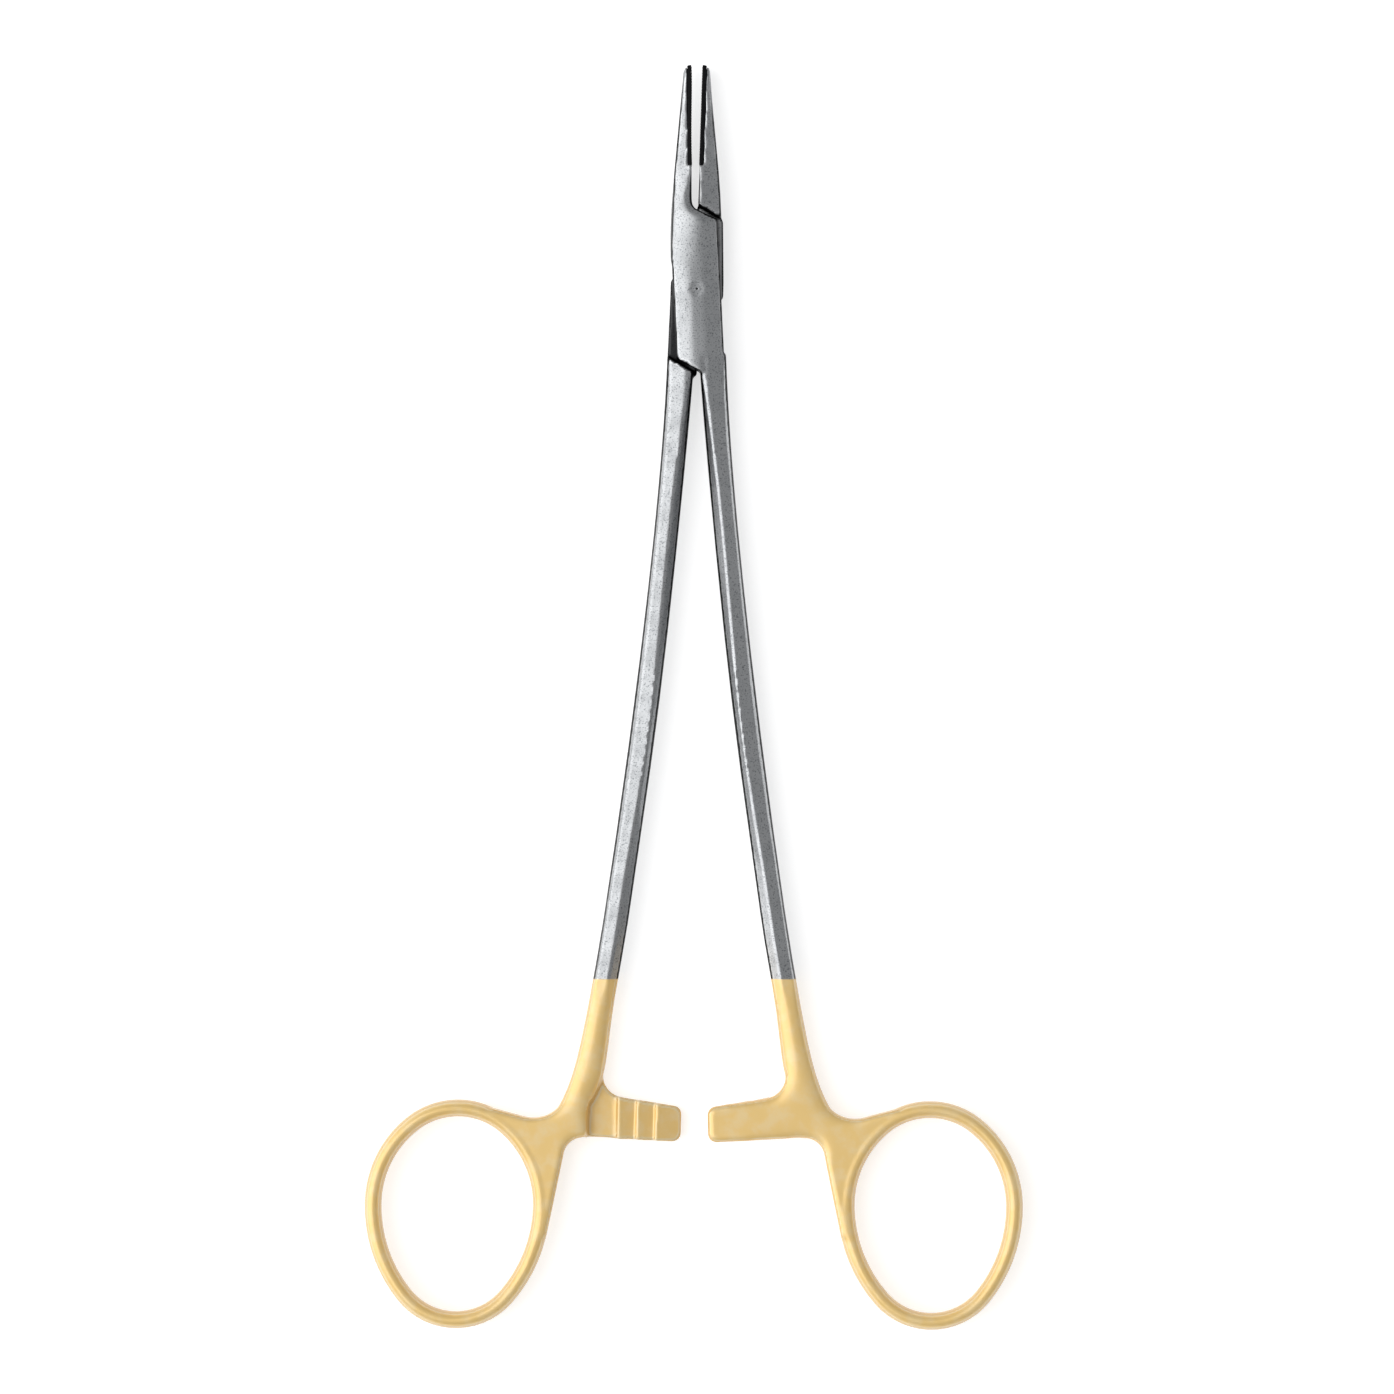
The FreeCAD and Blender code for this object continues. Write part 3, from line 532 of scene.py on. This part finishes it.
def makeGripTree(material):
    tree = bpy.data.node_groups.new("crossCutFace", "GeometryNodeTree")
    tree.interface.new_socket("insert", in_out="INPUT", socket_type="NodeSocketGeometry")
    tree.interface.new_socket("facing", in_out="INPUT", socket_type="NodeSocketVector")
    for name in gripSetup:
        tree.interface.new_socket(name, in_out="INPUT", socket_type="NodeSocketFloat")
    tree.interface.new_socket("cutInsert", in_out="OUTPUT", socket_type="NodeSocketGeometry")
    given = tree.nodes.new("NodeGroupInput").outputs
    link = tree.links.new

    def vector(operation, first, second=None, scale=None):
        node = tree.nodes.new("ShaderNodeVectorMath")
        node.operation = operation
        link(first, node.inputs[0])
        if second is not None:
            link(second, node.inputs[1])
        if isinstance(scale, float):
            node.inputs["Scale"].default_value = scale
        elif scale is not None:
            link(scale, node.inputs["Scale"])
        return node.outputs["Value" if operation == "DOT_PRODUCT" else "Vector"]

    def number(operation, first, second=0.0):
        return mathNode(tree, operation, first, second)

    def hitFrom(place):
        ray = tree.nodes.new("GeometryNodeRaycast")
        link(given["insert"], ray.inputs["Target Geometry"])
        link(place, ray.inputs["Source Position"])
        link(vector("SCALE", given["facing"], scale=-1.0), ray.inputs["Ray Direction"])
        return ray.outputs

    def looksAcross(hit):
        square = vector("DOT_PRODUCT", hit["Hit Normal"], given["facing"])
        return number("GREATER_THAN", square, gripSquare)

    # a grid of starting points, as long and high as the insert, standing before its face
    box = tree.nodes.new("GeometryNodeBoundBox")
    link(given["insert"], box.inputs[0])
    size = tree.nodes.new("ShaderNodeSeparateXYZ")
    link(vector("SUBTRACT", box.outputs["Max"], box.outputs["Min"]), size.inputs[0])
    centre = vector("SCALE", vector("ADD", box.outputs["Max"], box.outputs["Min"]), scale=0.5)
    clear = number("MULTIPLY", size.outputs["X"], 2.0)
    before = vector("ADD", centre, vector("SCALE", given["facing"], scale=clear))
    grid = tree.nodes.new("GeometryNodeMeshGrid")
    for side, letter in (("Z", "X"), ("Y", "Y")):
        reach = number("SUBTRACT", size.outputs[side], number("MULTIPLY", given["margin"], 2.0))
        rows = number("FLOOR", number("DIVIDE", reach, given["pitch"]))
        link(number("MULTIPLY", rows, given["pitch"]), grid.inputs["Size " + letter])
        link(number("ADD", rows, 1.0), grid.inputs["Vertices " + letter])
    stood = tree.nodes.new("GeometryNodeTransform")
    stood.inputs["Rotation"].default_value = (0, np.pi / 2, 0)
    link(grid.outputs["Mesh"], stood.inputs["Geometry"])
    link(before, stood.inputs["Translation"])

    # a point counts where its ray lands on the gripping face, with a margin above and below it
    place = tree.nodes.new("GeometryNodeInputPosition").outputs[0]
    hit = hitFrom(place)
    lands = looksAcross(hit)
    for sign in (-1.0, 1.0):
        aside = tree.nodes.new("ShaderNodeCombineXYZ")
        link(number("MULTIPLY", given["margin"], sign), aside.inputs["Z"])
        beside = hitFrom(vector("ADD", place, aside.outputs[0]))
        both = number("MULTIPLY", looksAcross(beside), beside["Is Hit"])
        lands = number("MULTIPLY", lands, both)
    turn = tree.nodes.new("FunctionNodeAlignRotationToVector")
    turn.axis = "Z"
    link(hit["Hit Normal"], turn.inputs["Vector"])
    spin = tree.nodes.new("FunctionNodeRotateRotation")
    spin.rotation_space = "LOCAL"
    spin.inputs["Rotate By"].default_value = (0, 0, np.pi / 4)
    link(turn.outputs[0], spin.inputs["Rotation"])

    # one pyramid: a cone of four sides, whose corners meet those of its neighbours
    tooth = tree.nodes.new("GeometryNodeMeshCone")
    tooth.inputs["Vertices"].default_value = 4
    tooth.inputs["Radius Top"].default_value = 0.0
    link(number("MULTIPLY", given["pitch"], 0.5 * 2 ** 0.5), tooth.inputs["Radius Bottom"])
    link(given["height"], tooth.inputs["Depth"])

    sunk = vector("SCALE", hit["Hit Normal"], scale=number("MULTIPLY", given["sink"], -1.0))
    keep = tree.nodes.new("GeometryNodeCaptureAttribute")
    keep.capture_items.new("FLOAT", "Lands")
    keep.capture_items.new("ROTATION", "Turn")
    keep.capture_items.new("VECTOR", "Spot")
    link(stood.outputs["Geometry"], keep.inputs["Geometry"])
    link(lands, keep.inputs["Lands"])
    link(spin.outputs[0], keep.inputs["Turn"])
    link(vector("ADD", hit["Hit Position"], sunk), keep.inputs["Spot"])
    seat = tree.nodes.new("GeometryNodeSetPosition")
    link(keep.outputs["Geometry"], seat.inputs["Geometry"])
    link(keep.outputs["Spot"], seat.inputs["Position"])
    points = tree.nodes.new("GeometryNodeMeshToPoints")
    link(seat.outputs["Geometry"], points.inputs["Mesh"])
    link(keep.outputs["Lands"], points.inputs["Selection"])
    stand = tree.nodes.new("GeometryNodeInstanceOnPoints")
    link(points.outputs["Points"], stand.inputs["Points"])
    link(tooth.outputs["Mesh"], stand.inputs["Instance"])
    link(keep.outputs["Turn"], stand.inputs["Rotation"])

    whole = tree.nodes.new("GeometryNodeJoinGeometry")
    link(given["insert"], whole.inputs["Geometry"])
    link(stand.outputs["Instances"], whole.inputs["Geometry"])
    real = tree.nodes.new("GeometryNodeRealizeInstances")
    link(whole.outputs["Geometry"], real.inputs["Geometry"])
    finish = tree.nodes.new("GeometryNodeSetMaterial")
    finish.inputs["Material"].default_value = material
    link(real.outputs["Geometry"], finish.inputs["Geometry"])
    out = tree.nodes.new("NodeGroupOutput")
    link(finish.outputs["Geometry"], out.inputs["cutInsert"])
    return tree


# the gripping face is set back by the pyramids' height, so that their tips end where the solid does
def recessedInsert(nodeName, facing):
    copy = mergedCopy((nodeName,))
    copy.normal_update()
    gripping = [face for face in copy.faces if face.normal.dot(facing) > gripSquare]
    for vertex in {vertex for face in gripping for vertex in face.verts}:
        vertex.co -= gripSetup["height"] * facing
    return meshFrom(copy, "recessedInsert")


def makeInsert(pieceName, nodeName, body, facing, tree):
    item = addObject(pieceName + "Base", recessedInsert(nodeName, Vector(facing)))
    lay = item.modifiers.new("crossCut", "NODES")
    lay.node_group = tree
    inputs = [socket for socket in tree.interface.items_tree if socket.in_out == "INPUT"]
    identifiers = {socket.name: socket.identifier for socket in inputs}
    lay[identifiers["facing"]] = facing
    for name, value in gripSetup.items():
        lay[identifiers[name]] = value
    addPiece(pieceName, finishedMesh(item), nodeName, body)


def dress(nodeName, material):
    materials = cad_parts[nodeName].data.materials
    materials.clear()
    materials.append(material)


makeCamera()
makeStudio()
makeFloor()
print("camera and studio ready")

steel = makeSteel()
femaleSolids = ("female_half", "box_lock_pin")       # the flush pin closes its hole in the skin
makeForging("femaleForging", femaleSolids, "female", steel)
makeForging("maleForging", ("male_half",), "male", steel)
print("forgings ready")

dress("box_lock_pin", steel)
print("pin dressed")

gripTree = makeGripTree(makeCarbide())
makeInsert("femaleCutInsert", "female_jaw_insert", "female", (1.0, 0.0, 0.0), gripTree)
makeInsert("maleCutInsert", "male_jaw_insert", "male", (-1.0, 0.0, 0.0), gripTree)
print("gripping faces cut")
